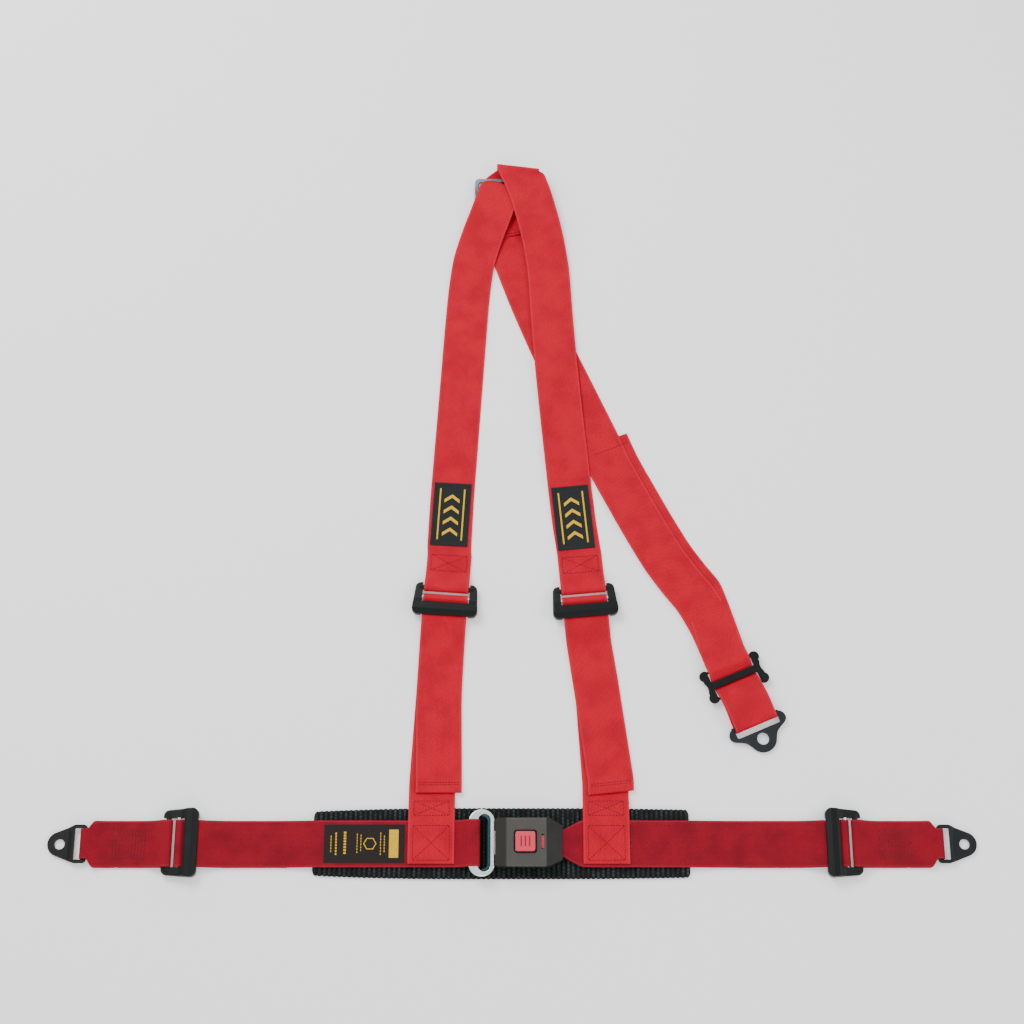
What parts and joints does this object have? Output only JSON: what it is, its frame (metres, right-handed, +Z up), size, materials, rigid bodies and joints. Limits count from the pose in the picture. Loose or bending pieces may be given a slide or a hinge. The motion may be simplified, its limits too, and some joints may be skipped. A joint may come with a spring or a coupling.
{
  "type": "racing harness",
  "caption": "Red racing harness laid flat: lap belt with push-button buckle on a black pad, two shoulder straps to a top ring, and one rear strap, each ending in a steel anchor plate",
  "frame": {"origin": "centre of the underside of the laid-out harness, on the floor", "axes": "+X along the lap belt, left to right; +Y from the lap belt up the back to the ring; +Z up from the floor"},
  "size_m": [0.994, 0.8673, 0.0234],
  "materials": {
    "lap_webbing": "tight-woven polyester webbing with fine cross ribs, dark red",
    "shoulder_webbing": "tight-woven polyester webbing with fine cross ribs, bright red",
    "pad_webbing": "coarse ribbed black webbing pad, ribs across its width",
    "adjuster_plastic": "dark green-black satin moulding",
    "bright_steel": "bright plated steel",
    "ring_steel": "grey-blue tumbled steel",
    "dark_steel": "black-coated steel with worn edges",
    "grey_steel": "grey-coated steel with a darker rim",
    "buckle_shell": "taupe-grey moulded cover with a fine texture",
    "buckle_top": "lighter grey moulded cover with a fine texture",
    "button_plastic": "pinkish-red moulded push button with ribs",
    "liner_plastic": "dark teal slot liner",
    "inner_steel": "stamped zinc-plated steel",
    "patch_cloth": "woven dark badge with two yellow bars and plain chevrons",
    "label_cloth": "woven dark brown tag with plain yellow bars"
  },
  "bodies": {
    "buckle_side": {"buckle_bottom_cover": "buckle_shell", "buckle_top_cover": "buckle_top", "buckle_frame": "inner_steel", "latch_pin": "inner_steel", "latch_spring": "inner_steel", "ejector_springs": "inner_steel", "right_lap_strap": "lap_webbing", "right_lap_adjuster_frame": "adjuster_plastic", "right_lower_shoulder_strap": "shoulder_webbing", "right_shoulder_adjuster_frame": "adjuster_plastic", "right_upper_shoulder_strap": "shoulder_webbing", "right_shoulder_patch": "patch_cloth", "lap_pad": "pad_webbing", "top_ring": "ring_steel"},
    "tongue_side": {"left_lap_strap": "lap_webbing", "left_lap_adjuster_frame": "adjuster_plastic", "label_tag": "label_cloth", "tongue_plate": "bright_steel", "tongue_liner": "liner_plastic", "left_lower_shoulder_strap": "shoulder_webbing", "left_shoulder_adjuster_frame": "adjuster_plastic", "left_upper_shoulder_strap": "shoulder_webbing", "left_shoulder_patch": "patch_cloth"},
    "rear_side": {"rear_strap": "shoulder_webbing", "rear_adjuster": "adjuster_plastic"},
    "rear_plate": {"rear_anchor_plate": "grey_steel"},
    "left_anchor_loop": {"left_anchor_strap": "lap_webbing"},
    "right_anchor_loop": {"right_anchor_strap": "lap_webbing"},
    "left_plate": {"left_anchor_plate": "dark_steel"},
    "right_plate": {"right_anchor_plate": "grey_steel"},
    "button": {"release_button": "button_plastic"},
    "latch": {"latch": "inner_steel"},
    "ejector": {"ejector": "inner_steel"},
    "left_lap_lock": {"left_lap_lock_bar": "bright_steel"},
    "right_lap_lock": {"right_lap_lock_bar": "bright_steel"},
    "left_shoulder_lock": {"left_shoulder_lock_bar": "bright_steel"},
    "right_shoulder_lock": {"right_shoulder_lock_bar": "bright_steel"}
  },
  "joints": [
    {"name": "harness_opening", "type": "hinge", "parent": "buckle_side", "child": "tongue_side", "pos_m": [-0.0146, 0.3964, 0], "axis": [0, 0, 1], "range_deg": [-30, 0]},
    {"name": "ejector_slide", "type": "slide", "parent": "buckle_side", "child": "ejector", "axis": [-1, 0, 0], "range_m": [0, 0.006]},
    {"name": "button_press", "type": "slide", "parent": "buckle_side", "child": "button", "axis": [0, 0, -1], "range_m": [0, 0.0025], "stiffness_N_per_m": 400, "deforming": ["latch_spring"]},
    {"name": "latch_swing", "type": "hinge", "parent": "buckle_side", "child": "latch", "pos_m": [0.008, -0.396, 0.0152], "axis": [0, 1, 0], "range_deg": [0, 12.5]},
    {"name": "rear_strap_drop", "type": "hinge", "parent": "buckle_side", "child": "rear_side", "pos_m": [-0.0146, 0.38115, 0.00425], "axis": [1, 0, 0], "range_deg": [0, 70]},
    {"name": "rear_plate_fold", "type": "hinge", "parent": "rear_side", "child": "rear_plate", "pos_m": [0.2661, -0.26271, 0.0046], "axis": [0.9205, 0.3907, 0], "range_deg": [-60, 60]},
    {"name": "left_anchor_fold", "type": "hinge", "parent": "tongue_side", "child": "left_anchor_loop", "pos_m": [-0.3675, -0.396, 0.007], "axis": [0, 1, 0], "range_deg": [-30, 75]},
    {"name": "right_anchor_fold", "type": "hinge", "parent": "buckle_side", "child": "right_anchor_loop", "pos_m": [0.3675, -0.396, 0.007], "axis": [0, -1, 0], "range_deg": [-30, 75]},
    {"name": "left_plate_fold", "type": "hinge", "parent": "left_anchor_loop", "child": "left_plate", "pos_m": [-0.4573, -0.396, 0.0046], "axis": [0, 1, 0], "range_deg": [-60, 60]},
    {"name": "right_plate_fold", "type": "hinge", "parent": "right_anchor_loop", "child": "right_plate", "pos_m": [0.4573, -0.396, 0.0046], "axis": [0, -1, 0], "range_deg": [-60, 60]},
    {"name": "left_lap_lock_slide", "type": "slide", "parent": "tongue_side", "child": "left_lap_lock", "axis": [1, 0, 0], "range_m": [0, 0.0015], "stiffness_N_per_m": 150},
    {"name": "right_lap_lock_slide", "type": "slide", "parent": "buckle_side", "child": "right_lap_lock", "axis": [-1, 0, 0], "range_m": [0, 0.0015], "stiffness_N_per_m": 150},
    {"name": "left_shoulder_lock_slide", "type": "slide", "parent": "tongue_side", "child": "left_shoulder_lock", "axis": [-0.0698, -0.9976, 0], "range_m": [0, 0.0015], "stiffness_N_per_m": 150},
    {"name": "right_shoulder_lock_slide", "type": "slide", "parent": "buckle_side", "child": "right_shoulder_lock", "axis": [0.0872, -0.9962, 0], "range_m": [0, 0.0015], "stiffness_N_per_m": 150}
  ],
  "couplings": [
    {"joint": "ejector_slide", "follows": "harness_opening", "m_per_rad": -0.01146},
    {"joint": "latch_swing", "follows": "button_press", "rad_per_m": 87}
  ]
}
